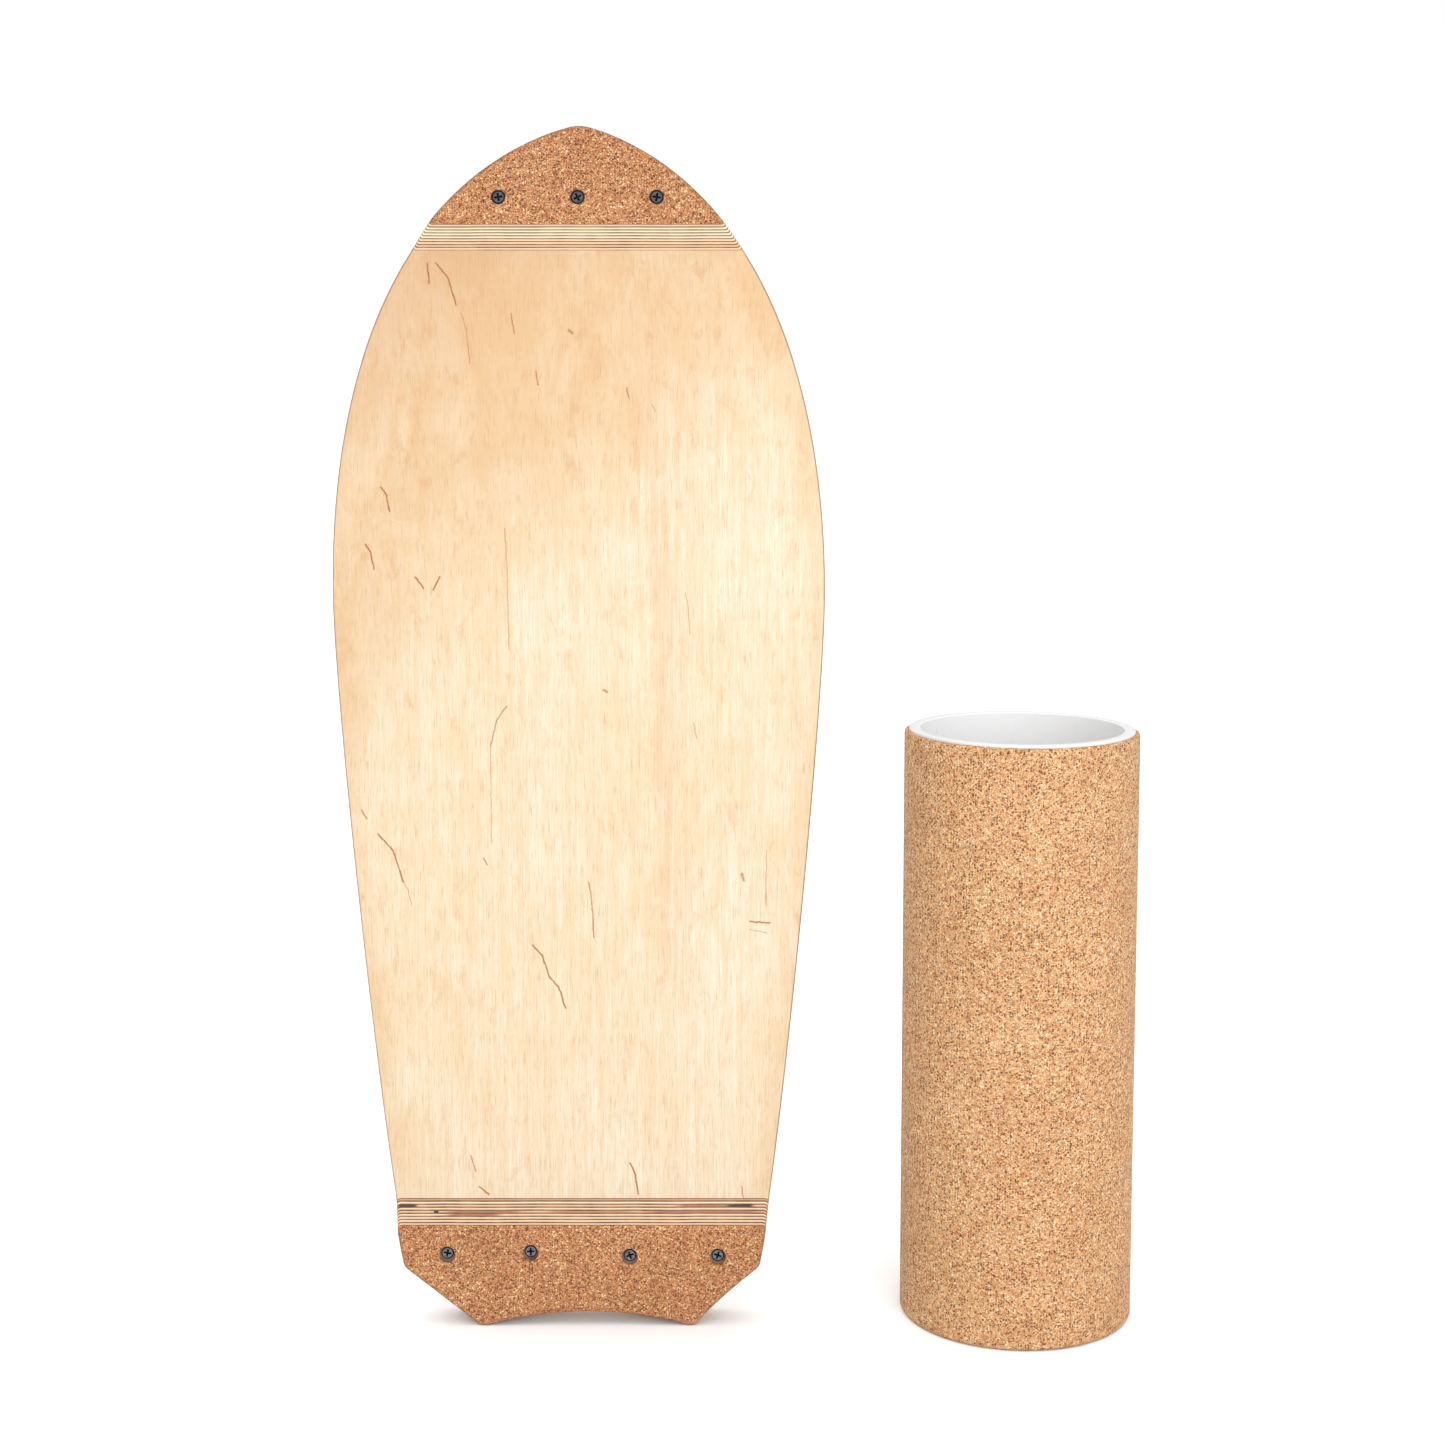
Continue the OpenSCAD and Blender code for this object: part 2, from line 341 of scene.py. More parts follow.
def block_hole(node, front, back):
    """The countersunk hole through a stop block, as plate() takes it."""
    head, head_r, _ = screw_place(node)
    depths = sorted({front, back} | {head.y + d * MM for _, d in HEAD_SHAPE if head.y + d * MM > front}
                    | {head.y + HEAD_HEIGHT})
    return [(circle(node, head_radius(y - head.y, head_r) + HOLE_CLEARANCE), y) for y in depths]


def deck_hole(node):
    """The blind pilot hole in the deck."""
    head, _, length = screw_place(node)
    radius = THREAD_R + HOLE_CLEARANCE
    return [(circle(node, radius), deck_under), (circle(node, radius), head.y + length + 0.8 * MM)]


def cork_hole(node, front, back, radius_x, radius_z, drop):
    """The torn-edged hole in a cork pad over a screw's head."""
    wide = circle(node, radius_x + 0.35 * MM, radius_z + 0.35 * MM, 0.3 * MM, drop)
    narrow = circle(node, radius_x, radius_z, 0.3 * MM, drop)
    low = circle(node, radius_x + 0.1 * MM, radius_z + 0.1 * MM, 0.15 * MM, drop)
    return [(wide, front), (narrow, front + 0.45 * MM), (low, back)]


def cross(length, width):
    """The twelve corners of a cross recess, by half its length and half its width."""
    corner = [(length, -width), (length, width), (width, width)]
    turns = [(1, 0, 0, 1), (0, -1, 1, 0), (-1, 0, 0, -1), (0, 1, -1, 0)]
    return [(a * x + b * y, c * x + d * y) for a, b, c, d in turns for x, y in corner]


def threaded(angle, depth, length):
    """The radius of the threaded shank, with its tapered tip."""
    taper = min(1, (length - depth) / TIP_LENGTH + 0.06)
    turn = (depth / THREAD_PITCH - angle / math.tau) % 1
    crest = max(0, 1 - abs(turn - 0.5) / 0.3)
    fade = min(1, (depth - HEAD_HEIGHT) / THREAD_PITCH)
    return (THREAD_R - THREAD_DEPTH * (1 - crest * fade)) * taper


def screw(node, turn, paint):
    """A bugle-headed screw with a cross recess, a helical thread and a point."""
    head, head_r, length = screw_place(node)
    shell = Shell()
    spin = math.radians(turn)

    def put(points, depth):
        """Points around the screw's axis, as seen from in front, at a depth below its face."""
        return shell.ring([(head.x + x * math.cos(spin) - z * math.sin(spin), head.y + depth,
                            head.z + x * math.sin(spin) + z * math.cos(spin)) for x, z in points])

    def around(radius_at, depth):
        angles = [math.tau * i / ROUND for i in range(ROUND)]
        return put([(radius_at(a) * math.cos(a), radius_at(a) * math.sin(a)) for a in angles], depth)

    head_rings = [(head_r - inward * MM, depth * MM) for inward, depth in HEAD_EDGE]
    head_rings += [(head_r * share, depth * MM) for share, depth in HEAD_SHAPE]
    rings = [around(lambda a, r=radius: r, depth) for radius, depth in head_rings]
    steps = int((length - HEAD_HEIGHT) / THREAD_PITCH * 7)
    for i in range(steps + 1):
        depth = HEAD_HEIGHT + (length - HEAD_HEIGHT) * i / steps
        rings.append(around(lambda a, d=depth: threaded(a, d, length), depth))
    for a, b in zip(rings, rings[1:]):
        shell.strip(a, b)
    shell.cap(rings[-1])
    walls = [put(cross(reach * MM, width * MM), depth * MM) for reach, width, depth in RECESS]
    for a, b in zip(walls, walls[1:]):
        shell.strip(a, b)
    shell.cap(walls[-1])
    shell.cap(rings[0], [walls[0]])
    # The masks mark where shade is painted: in the cross recess, and on the head's rim and below.
    number = np.arange(len(shell.points))
    recess = number >= walls[1][0]
    side = (number > rings[0][-1]) & (number < walls[0][0])
    shell.piece(f"{node}_steel", paint, "deck", "black_screw", node,
                recess=recess.astype(np.float32), side=side.astype(np.float32))


# ---- Deck and stops ------------------------------------------------------------------------

def stop_section(loop, level, above):
    """The part of the outline above or below a level, closed by a straight edge whose two ends
    are rounded. Every section has the same number of points."""
    keep = loop[:, 1] > level if above else loop[:, 1] < level
    start = int(np.flatnonzero(keep & ~np.roll(keep, 1))[0])
    turned = np.roll(loop, -start, 0)
    count = int(keep.sum())
    ends = []
    for out, last in ((turned[-1], turned[0]), (turned[count], turned[count - 1])):
        ends.append(last + (out - last) * (level - last[1]) / (out[1] - last[1]))
    side = resample(np.vstack([ends[0], turned[:count], ends[1]]), SIDE_POINTS, STOP_CORNER)
    across = (ends[0] - ends[1]) / np.linalg.norm(ends[0] - ends[1])
    straight = np.linspace(ends[1] + across * STOP_CORNER, ends[0] - across * STOP_CORNER, STRAIGHT_POINTS)
    t = np.linspace(0, 1, 7)[1:-1, None]
    corners = [(1 - t) ** 2 * a + 2 * t * (1 - t) * c + t ** 2 * b
               for a, c, b in ((side[-1], ends[1], straight[0]), (straight[-1], ends[0], side[0]))]
    return np.vstack([side, corners[0], straight, corners[1]])


def deck(outline, screws, paint):
    """The deck panel, rounded along both faces, but square where a stop lies against it."""
    nose_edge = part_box("nose_stop_block")[0].z
    tail_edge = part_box("tail_stop_block")[1].z
    free = ease(tail_edge, tail_edge + 5 * MM, outline[:, 1])
    free = free * (1 - ease(nose_edge - 5 * MM, nose_edge, outline[:, 1]))
    back = [(inset(outline, DECK_ROUND + RIM_MARGIN), deck_top)]
    back += [(inset(outline, DECK_ROUND * (1 - sink)), deck_top - DECK_ROUND * (1 - width))
             for width, sink in quarter(ROUND_STEPS)]
    front = [(inset(outline, DECK_ROUND * width * free), deck_under + DECK_ROUND * (1 - sink))
             for width, sink in quarter(ROUND_STEPS)]
    front.append((inset(outline, DECK_ROUND * free + RIM_MARGIN), deck_under))
    holes = [deck_hole(node) for node in screws]
    inner = scatter(front[-1][0], [hole[0][0] for hole in holes], DECK_GRID, 3 * MM, 3)
    shell = plate(back + front, holes, inner)
    shell.piece("deck_board", paint, "deck", "birch_deck", "deck_panel", rim=shell.rim(outline))


def stop(end, above, outline, screws, hole_size, wood, cork):
    """A stop at one end of the deck: the bevelled block and its cork pad."""
    block_low, block_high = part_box(f"{end}_stop_block")
    pad_low, pad_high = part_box(f"{end}_cork_pad")
    corner = 0 if above else 1
    back_z = (block_low, block_high)[corner].z
    face_z = (pad_low, pad_high)[corner].z
    face, front = block_low.y, pad_low.y

    def bevel(y):
        return back_z + (face_z - back_z) * (deck_under - y) / (deck_under - face)

    levels = [(stop_section(outline, bevel(y), above), y) for y in np.linspace(deck_under, face, 7)]
    shell = plate(levels, [block_hole(node, face, deck_under) for node in screws])
    shell.piece(f"{end}_stop_ply", wood, "deck", "ply_block", f"{end}_stop_block", rim=shell.rim(outline))

    levels = [(stop_section(outline, bevel(face), above), face)]
    lip = CORK_LIP if above else -CORK_LIP
    for width, sink in quarter(ROUND_STEPS):
        y = front + STOP_ROUND_DEPTH * (1 - sink)
        loop = inset(outline, STOP_ROUND * width)
        levels.append((stop_section(loop, bevel(y) + lip * width, above), y))
    loop = inset(outline, STOP_ROUND + RIM_MARGIN)
    levels.append((stop_section(loop, bevel(front) + lip * 2, above), front))
    holes = [cork_hole(node, front, face, *hole_size) for node in screws]
    inner = scatter(levels[-1][0], [hole[0][0] for hole in holes], CORK_GRID, 0.8 * MM, 5)
    shell = plate(levels, holes, inner, RELIEF)
    shell.piece(f"{end}_stop_cork", cork, "deck", "cork_pad", f"{end}_cork_pad", rim=shell.rim(outline))


# ---- Roller --------------------------------------------------------------------------------

def radii(node):
    """The smallest and largest distance of a roller node's points from the roller's axis."""
    gaps = [math.hypot(v.co.x - roller_x, v.co.y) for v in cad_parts[node].data.vertices]
    return min(gaps), max(gaps)


def lathe(profile, angles, relief=None):
    """A closed profile of (radius, z) points turned around the roller's axis."""
    shell = Shell()
    rings = []
    for radius, z in profile:
        around = [(radius - (relief(a, z, radius) if relief else 0), a) for a in angles]
        rings.append(shell.ring([(roller_x + r * math.cos(a), r * math.sin(a), z) for r, a in around]))
    for a, b in zip(rings, rings[1:] + rings[:1]):
        shell.strip(a, b)
    return shell


def roller_tube(paint):
    """The plastic tube, its four edges broken by a fine chamfer."""
    inner, outer = radii("roller_tube")
    low, high = tube_low.z, tube_high.z
    chamfer = 0.5 * MM
    soft = 0.25 * MM
    profile = []
    for radius, side in ((outer, -1), (inner, 1)):
        edge = [(radius + side * chamfer, 0), (radius + side * 0.15 * MM, 0.15 * MM), (radius, chamfer)]
        bottom = [(r, low + dz) for r, dz in edge]
        top = [(r, high - dz) for r, dz in reversed(edge)]
        wall = [(radius, low + chamfer + soft), (radius, high - chamfer - soft)]
        run = bottom + wall + top
        profile += run if side < 0 else run[::-1]
    angles = [math.tau * i / TUBE_POINTS for i in range(TUBE_POINTS)]
    lathe(profile, angles).piece("roller_pipe", paint, "roller", "white_tube", "roller_tube")


def roller_cork(paint):
    """The cork sleeve with rounded ends, a grain relief, and the butt joint of its sheet at the back."""
    inner, outer = radii("roller_cork_sleeve")
    low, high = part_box("roller_cork_sleeve")
    step = 1.6 * MM
    end_round = 2 * MM
    seam = math.pi / 2
    seam_half = 0.45 * MM / outer
    count = int((math.tau - 4 * seam_half) * outer / step)
    angles = list(np.linspace(seam + 2 * seam_half, seam + math.tau - 2 * seam_half, count))
    angles += [seam - seam_half + math.tau, seam + math.tau, seam + seam_half + math.tau]

    def depth(angle, z, radius):
        if radius <= inner + 0.1 * MM:
            return 0
        place = (math.cos(angle) * outer, math.sin(angle) * outer, z)
        groove = 0.35 * MM if abs(angle - seam - math.tau) < seam_half / 2 else 0
        return RELIEF * granule_relief(place, 1.9 * MM) + groove

    ends = [(outer - end_round * width, end_round * (1 - sink)) for width, sink in quarter(5)]
    rows = int((high.z - low.z - 2 * end_round) / step)
    walls = np.linspace(low.z + end_round, high.z - end_round, rows)[1:-1]
    profile = [(inner, low.z)] + [(r, low.z + dz) for r, dz in reversed(ends)]
    profile += [(outer, z) for z in walls]
    profile += [(r, high.z - dz) for r, dz in ends] + [(inner, high.z)]
    lathe(profile, angles, depth).piece(
        "roller_cork", paint, "roller", "cork_sleeve", "roller_cork_sleeve")


# ---- Materials -----------------------------------------------------------------------------

def look(red, green, blue):
    """A surface colour, given as it looks on the 0 to 255 scale in this scene's usual light."""
    return (*[((v / 255 + 0.055) / 1.055) ** 2.4 / LIGHT_LEVEL for v in (red, green, blue)], 1)


class Paint:
    """One procedural material, with short names for the nodes it is made of."""

    def __init__(self, name, roughness, **shader):
        self.material = bpy.data.materials.new(name)
        self.material.use_nodes = True
        self.tree = self.material.node_tree
        self.shader = self.tree.nodes["Principled BSDF"]
        self.shader.inputs["Roughness"].default_value = roughness
        for key, value in shader.items():
            self.shader.inputs[key.replace("_", " ")].default_value = value
        self.place = self.node("ShaderNodeTexCoord", {}).outputs["Object"]
        self.x, self.y, self.z = self.node("ShaderNodeSeparateXYZ", {0: self.place}).outputs

    def node(self, kind, inputs, **settings):
        node = self.tree.nodes.new(kind)
        for key, value in settings.items():
            setattr(node, key, value)
        for key, value in inputs.items():
            if isinstance(value, bpy.types.NodeSocket):
                self.tree.links.new(value, node.inputs[key])
            else:
                node.inputs[key].default_value = value
        return node

    def math(self, operation, a, b=0.0, clamp=False):
        return self.node("ShaderNodeMath", {0: a, 1: b}, operation=operation, use_clamp=clamp).outputs[0]

    def mix(self, share, a, b, blend="MIX"):
        made = self.node("ShaderNodeMix", {0: share, 6: a, 7: b}, data_type="RGBA", blend_type=blend)
        return made.outputs[2]

    def step(self, value, low, high):
        """0 at low, 1 at high, and smooth between; low may be the larger."""
        inputs = {"Value": value, "From Min": low, "From Max": high}
        return self.node("ShaderNodeMapRange", inputs, interpolation_type="SMOOTHSTEP").outputs[0]

    def span(self, value, low, high):
        """A noise's middle range stretched to 0 to 1."""
        return self.node("ShaderNodeMapRange", {"Value": value, "From Min": low, "From Max": high}).outputs[0]

    def mask(self, name):
        """A mask that the piece's points carry."""
        return self.node("ShaderNodeAttribute", {}, attribute_name=name).outputs["Fac"]

    def near(self, value, centre, half, soft):
        """1 within half of the centre, fading to 0 over soft."""
        gap = self.math("ABSOLUTE", self.math("SUBTRACT", value, centre))
        return self.step(gap, half + soft, half)

    def ramp(self, value, stops, interpolation="LINEAR"):
        node = self.node("ShaderNodeValToRGB", {0: value})
        ramp = node.color_ramp
        ramp.interpolation = interpolation
        while len(ramp.elements) < len(stops):
            ramp.elements.new(1)
        for element, (position, colour) in zip(ramp.elements, stops):
            element.position = position
            element.color = colour
        return node.outputs[0]

    def noise(self, scale, detail=2, stretch=(1, 1, 1), rough=0.5, distortion=0.0):
        place = self.node("ShaderNodeVectorMath", {0: self.place, 1: stretch}, operation="MULTIPLY")
        inputs = {"Vector": place.outputs[0], "Scale": scale, "Detail": detail,
                  "Roughness": rough, "Distortion": distortion}
        return self.node("ShaderNodeTexNoise", inputs).outputs[0]

    def shaken(self, scale, amount):
        """The place moved about by a noise, so that shapes drawn at it are uneven."""
        cloud = self.node("ShaderNodeTexNoise", {"Vector": self.place, "Scale": scale, "Detail": 2})
        moved = self.node("ShaderNodeVectorMath", {0: cloud.outputs["Color"], 1: (0.5, 0.5, 0.5)},
                          operation="SUBTRACT")
        return self.node("ShaderNodeVectorMath", {0: moved.outputs[0], 1: (amount,) * 3, 2: self.place},
                         operation="MULTIPLY_ADD").outputs[0]

    def bump(self, height, distance, under=None):
        inputs = {"Height": height, "Distance": distance, "Strength": 1.0}
        if under is not None:
            inputs["Normal"] = under
        return self.node("ShaderNodeBump", inputs).outputs[0]

    def finish(self, colour, roughness=None, normal=None):
        self.tree.links.new(colour, self.shader.inputs["Base Color"])
        if roughness is not None:
            self.tree.links.new(roughness, self.shader.inputs["Roughness"])
        if normal is not None:
            self.tree.links.new(normal, self.shader.inputs["Normal"])
        return self.material


# Marks in the deck's veneer by width and darkness. Each is the (x, z) of its upper end from the
# deck's centre line and its tail, its length down the grain and its lean across it, in millimetres.
# Places are to the nearest 5 mm.
MARKS = [
    (0.6, 0.55, [(-70, 630, 30, 5), (45, 575, 4, 2), (65, 460, 25, 3), (-55, 365, 60, 0), (70, 380, 10, 2),
                 (-45, 500, 75, 2), (-110, 280, 15, 5), (105, 250, 2, 10), (115, 300, 35, 0)]),
    (0.75, 0.8, [(-40, 630, 12, 2), (-25, 595, 8, 1), (30, 585, 6, 1), (-45, 390, 25, -10),
                 (-135, 325, 5, 3), (-60, 295, 4, 2), (5, 280, 35, 3), (-70, 105, 10, 3), (100, 85, 7, 1)]),
    (0.9, 1, [(-90, 660, 12, 1), (-85, 660, 25, 12), (-120, 525, 15, 5), (-130, 490, 15, 5),
              (-100, 470, 7, 5), (-85, 470, 8, -4), (-125, 310, 30, 15), (-30, 240, 20, 10),
              (-20, 220, 20, 10), (105, 255, 1, 12), (-65, 85, 5, 6), (30, 100, 20, 5)]),
    (1.5, 0.8, [(100, 285, 4, 1), (-5, 620, 2, 2), (15, 400, 1, 2)]),
]


def mark_corners(x, top, length, lean):
    """A mark's corners: a short one is straight, and a long one leans most near its upper end."""
    bend = [(x + 0.6 * lean, top - length / 3)] if length > 12 else []
    return [(x, top), *bend, (x + lean, top - length)]


def mark_group():
    """A node group that draws one straight line of a mark: 1 on the line, 0 beside it."""
    group = bpy.data.node_groups.new("veneer_mark", "ShaderNodeTree")
    for name, kind in (("Place", "Vector"), ("From", "Vector"), ("Along", "Vector"),
                       ("Width", "Float"), ("Depth", "Float"), ("Over", "Float")):
        group.interface.new_socket(name, in_out="INPUT", socket_type=f"NodeSocket{kind}")
    group.interface.new_socket("Mark", in_out="OUTPUT", socket_type="NodeSocketFloat")
    start, end = group.nodes.new("NodeGroupInput"), group.nodes.new("NodeGroupOutput")

    def vector(operation, *values, output=0):
        node = group.nodes.new("ShaderNodeVectorMath")
        node.operation = operation
        for socket, value in zip(node.inputs, values):
            group.links.new(value, socket)
        return node.outputs[output]

    def number(operation, a, b):
        node = group.nodes.new("ShaderNodeMath")
        node.operation = operation
        # The share along the line is the only quotient. It is clamped, so that the line's ends are round.
        node.use_clamp = operation == "DIVIDE"
        group.links.new(a, node.inputs[0])
        group.links.new(b, node.inputs[1])
        return node.outputs[0]

    place, origin, along, width, depth, over = start.outputs[:6]
    arm = vector("SUBTRACT", place, origin)
    share = number("DIVIDE", vector("DOT_PRODUCT", arm, along, output=1),
                   vector("DOT_PRODUCT", along, along, output=1))
    scaled = group.nodes.new("ShaderNodeVectorMath")
    scaled.operation = "SCALE"
    group.links.new(along, scaled.inputs[0])
    group.links.new(share, scaled.inputs["Scale"])
    gap = vector("LENGTH", vector("SUBTRACT", arm, scaled.outputs[0]), output=1)
    soft = group.nodes.new("ShaderNodeMapRange")
    soft.interpolation_type = "SMOOTHSTEP"
    soft.inputs["To Min"].default_value = 1
    soft.inputs["To Max"].default_value = 0
    group.links.new(gap, soft.inputs["Value"])
    group.links.new(width, soft.inputs["From Max"])
    drawn = number("MULTIPLY", soft.outputs[0], depth)
    group.links.new(number("MAXIMUM", drawn, over), end.inputs[0])
    return group


def veneer_marks(paint):
    """All the marks of the deck's face, on its underside only."""
    group = mark_group()
    shaken = paint.shaken(420, 1.3 * MM)
    place = paint.node("ShaderNodeVectorMath", {0: shaken, 1: (1, 0, 1)}, operation="MULTIPLY").outputs[0]
    lines = []
    for width, depth, marks in MARKS:
        for each in marks:
            corners = mark_corners(*each)
            lines += [(width, depth, a, b) for a, b in zip(corners, corners[1:])]
    mark = None
    for width, depth, a, b in lines:
        node = paint.node("ShaderNodeGroup", {}, node_tree=group)
        paint.tree.links.new(place, node.inputs["Place"])
        node.inputs["From"].default_value = (deck_x + a[0] * MM, 0, a[1] * MM)
        node.inputs["Along"].default_value = ((b[0] - a[0]) * MM, 0, (b[1] - a[1]) * MM)
        node.inputs["Width"].default_value = width * MM
        node.inputs["Depth"].default_value = depth
        if mark is not None:
            paint.tree.links.new(mark, node.inputs["Over"])
        mark = node.outputs[0]
    return paint.math("MULTIPLY", mark, paint.step(paint.y, deck_under + 3 * MM, deck_under + 1 * MM))


def veneer_face(paint):
    """Pale rotary-cut birch: tan clouds and smears, fine upright grain, pores, a reddish band, marks."""
    # Clouds, smears, blots and grain, all drawn out along the deck.
    cloud = paint.span(paint.noise(11, 3, (1, 1, 0.5), 0.55, 0.4), 0.35, 0.65)
    smear = paint.span(paint.noise(38, 7, (1, 1, 0.5), 0.74, 0.5), 0.42, 0.62)
    blot = paint.step(paint.noise(120, 5, (1, 1, 0.4), 0.7, 0.4), 0.54, 0.68)
    streak = paint.span(paint.noise(520, 3, (1, 1, 0.022), 0.6), 0.34, 0.66)
    fibre = paint.span(paint.noise(1100, 3, (1, 1, 0.04), 0.7), 0.36, 0.64)
    pore = paint.step(paint.noise(1500, 2, (1, 1, 0.05), 0.5), 0.56, 0.66)
    blotch = paint.math("ADD", paint.math("MULTIPLY", cloud, 0.5), paint.math("MULTIPLY", smear, 0.5))
    colour = paint.mix(blotch, look(255, 247, 226), look(246, 222, 182))
    # The wood is warmer towards the nose and along the rim. The warmer tone in the left half's upper part is
    # painted shade, as the light falls from the right.
    rim = paint.mask("rim")
    from_middle = paint.math("SUBTRACT", deck_x, paint.x)
    nose = paint.step(paint.math("ADD", paint.z, paint.math("MULTIPLY", from_middle, 0.5)), 0.42, 0.66)
    left = paint.math("MULTIPLY", paint.step(from_middle, 0.08, 0.15), paint.step(paint.z, 0.3, 0.48))
    edge = paint.math("MULTIPLY", paint.step(rim, 20 * MM, 2 * MM), 0.42)
    warmth_and_shade = paint.math("ADD", paint.math("ADD", nose, paint.math("MULTIPLY", left, 0.85)), edge, clamp=True)
    uneven = paint.math("ADD", paint.math("MULTIPLY", blotch, 0.75), 0.45)
    colour = paint.mix(paint.math("MULTIPLY", warmth_and_shade, uneven, clamp=True), colour, look(228, 187, 138))
    # Painted shade: the upper left corner is darker, as the light falls from the right.
    shoulder_shade = paint.step(paint.math("ADD", paint.z, from_middle), 0.64, 0.76)
    colour = paint.mix(paint.math("MULTIPLY", shoulder_shade, 0.6), colour, look(212, 160, 112))
    patchy = paint.math("ADD", paint.math("MULTIPLY", warmth_and_shade, 0.3), 0.34)
    colour = paint.mix(paint.math("MULTIPLY", blot, patchy), colour, look(216, 162, 112))
    # A faint reddish band runs down the right half.
    red_x = paint.math("ADD", paint.x, paint.math("MULTIPLY", paint.z, 0.04))
    red_x = paint.math("ADD", red_x, paint.math("MULTIPLY", smear, 10 * MM))
    red = paint.near(red_x, deck_x + 0.074, 4 * MM, 11 * MM)
    red = paint.math("MULTIPLY", red, paint.near(paint.z, 0.42, 0.11, 0.14))
    fibrous = paint.math("ADD", paint.math("MULTIPLY", streak, 0.3), 0.06)
    colour = paint.mix(paint.math("MULTIPLY", red, fibrous), colour, look(228, 172, 132))
    colour = paint.mix(paint.math("MULTIPLY", streak, 0.36), colour, look(234, 192, 140))
    colour = paint.mix(paint.math("MULTIPLY", fibre, 0.38), colour, look(236, 196, 142))
    colour = paint.mix(paint.math("MULTIPLY", pore, 0.4), colour, look(206, 156, 104))
    # A thin painted shade darkens the edge, and the marks lie on top of everything.
    edge_shade = paint.step(rim, 1.3 * MM, 0.3 * MM)
    colour = paint.mix(paint.math("MULTIPLY", edge_shade, 0.75), colour, look(150, 100, 68))
    return paint.mix(veneer_marks(paint), colour, look(170, 94, 26)), streak, pore


def ply_edge(paint, back, thickness, tones, glue_width):
    """The layers of plywood from back to front, each with its tone, and where the glue between them
    is: its width is a share of a layer, and the tones are lifted to make up for its darkness."""
    count = len(tones)
    pitch = thickness / count
    wave = paint.math("MULTIPLY", paint.math("SUBTRACT", paint.noise(30, 2, (1, 0.2, 1)), 0.5), 0.35 * MM)
    depth = paint.math("ADD", paint.math("SUBTRACT", back, paint.y), wave)
    layer = paint.math("DIVIDE", depth, pitch)
    stops = [(i / count, look(*[v * LAYER_LIFT for v in tone])) for i, tone in enumerate(tones)]
    colour = paint.ramp(paint.math("DIVIDE", depth, thickness), stops, "CONSTANT")
    fibre = paint.span(paint.noise(240, 3, (0.12, 5, 1), 0.6), 0.3, 0.7)
    colour = paint.mix(paint.math("MULTIPLY", fibre, 0.16), colour, look(214, 160, 116))
    inside_layer = paint.math("FRACT", layer)
    to_glue = paint.math("SUBTRACT", 0.5, paint.math("ABSOLUTE", paint.math("SUBTRACT", inside_layer, 0.5)))
    glue = paint.step(to_glue, glue_width, glue_width / 3)
    patchy = paint.span(paint.noise(90, 3, (1, 1, 1), 0.6), 0.3, 0.7)
    strength = paint.math("ADD", paint.math("MULTIPLY", patchy, 0.3), 0.68)
    glue = paint.math("MULTIPLY", glue, strength)
    return colour, glue, layer


def birch_board():
    """The deck: veneer on both faces, layers showing along its edge."""
    paint = Paint("birch_board", 0.46, Coat_Weight=0.12, Coat_Roughness=0.3)
    face, streak, pore = veneer_face(paint)
    tones = [(246, 214, 170), (226, 184, 142)] * 5 + [(246, 214, 170)]
    thickness = deck_top - deck_under
    edge, glue, _ = ply_edge(paint, deck_top, thickness, tones, 0.24)
    edge = paint.mix(glue, edge, look(124, 76, 46))
    veneer = 1.25 * MM
    from_middle = paint.math("ABSOLUTE", paint.math("SUBTRACT", paint.y, (deck_top + deck_under) / 2))
    core = paint.step(from_middle, thickness / 2 - veneer + 0.15 * MM, thickness / 2 - veneer - 0.1 * MM)
    colour = paint.mix(core, face, edge)
    normal = paint.bump(paint.math("MULTIPLY", streak, -1.0), 0.012 * MM)
    normal = paint.bump(paint.math("MULTIPLY", pore, -1.0), 0.03 * MM, normal)
    roughness = paint.math("ADD", paint.math("MULTIPLY", streak, 0.12), 0.4)
    return paint.finish(colour, roughness, normal)


def stop_ply(end, tones, glue_tone, glue_width, knots):
    """A stop block: layers on its bevel, with knots as (x from, x to, layer, tone) in millimetres."""
    low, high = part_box(f"{end}_stop_block")
    paint = Paint(f"{end}_stop_layers", 0.5)
    colour, glue, layer = ply_edge(paint, high.y, high.y - low.y, tones, glue_width)
    for start, stop_at, number, tone in knots:
        centre = (start + stop_at) / 2 * MM + deck_x
        half = (stop_at - start) / 2 * MM
        spot = paint.math("MULTIPLY", paint.near(paint.x, centre, half * 0.7, half * 0.6),
                          paint.near(layer, number + 0.5, 0.3, 0.2))
        colour = paint.mix(spot, colour, look(*tone))
    colour = paint.mix(glue, colour, look(*glue_tone))
    fine = paint.noise(1400, 2, (0.3, 1, 1))
    normal = paint.bump(paint.math("ADD", paint.math("MULTIPLY", glue, -1.5), fine), 0.05 * MM)
    return paint.finish(colour, None, normal)


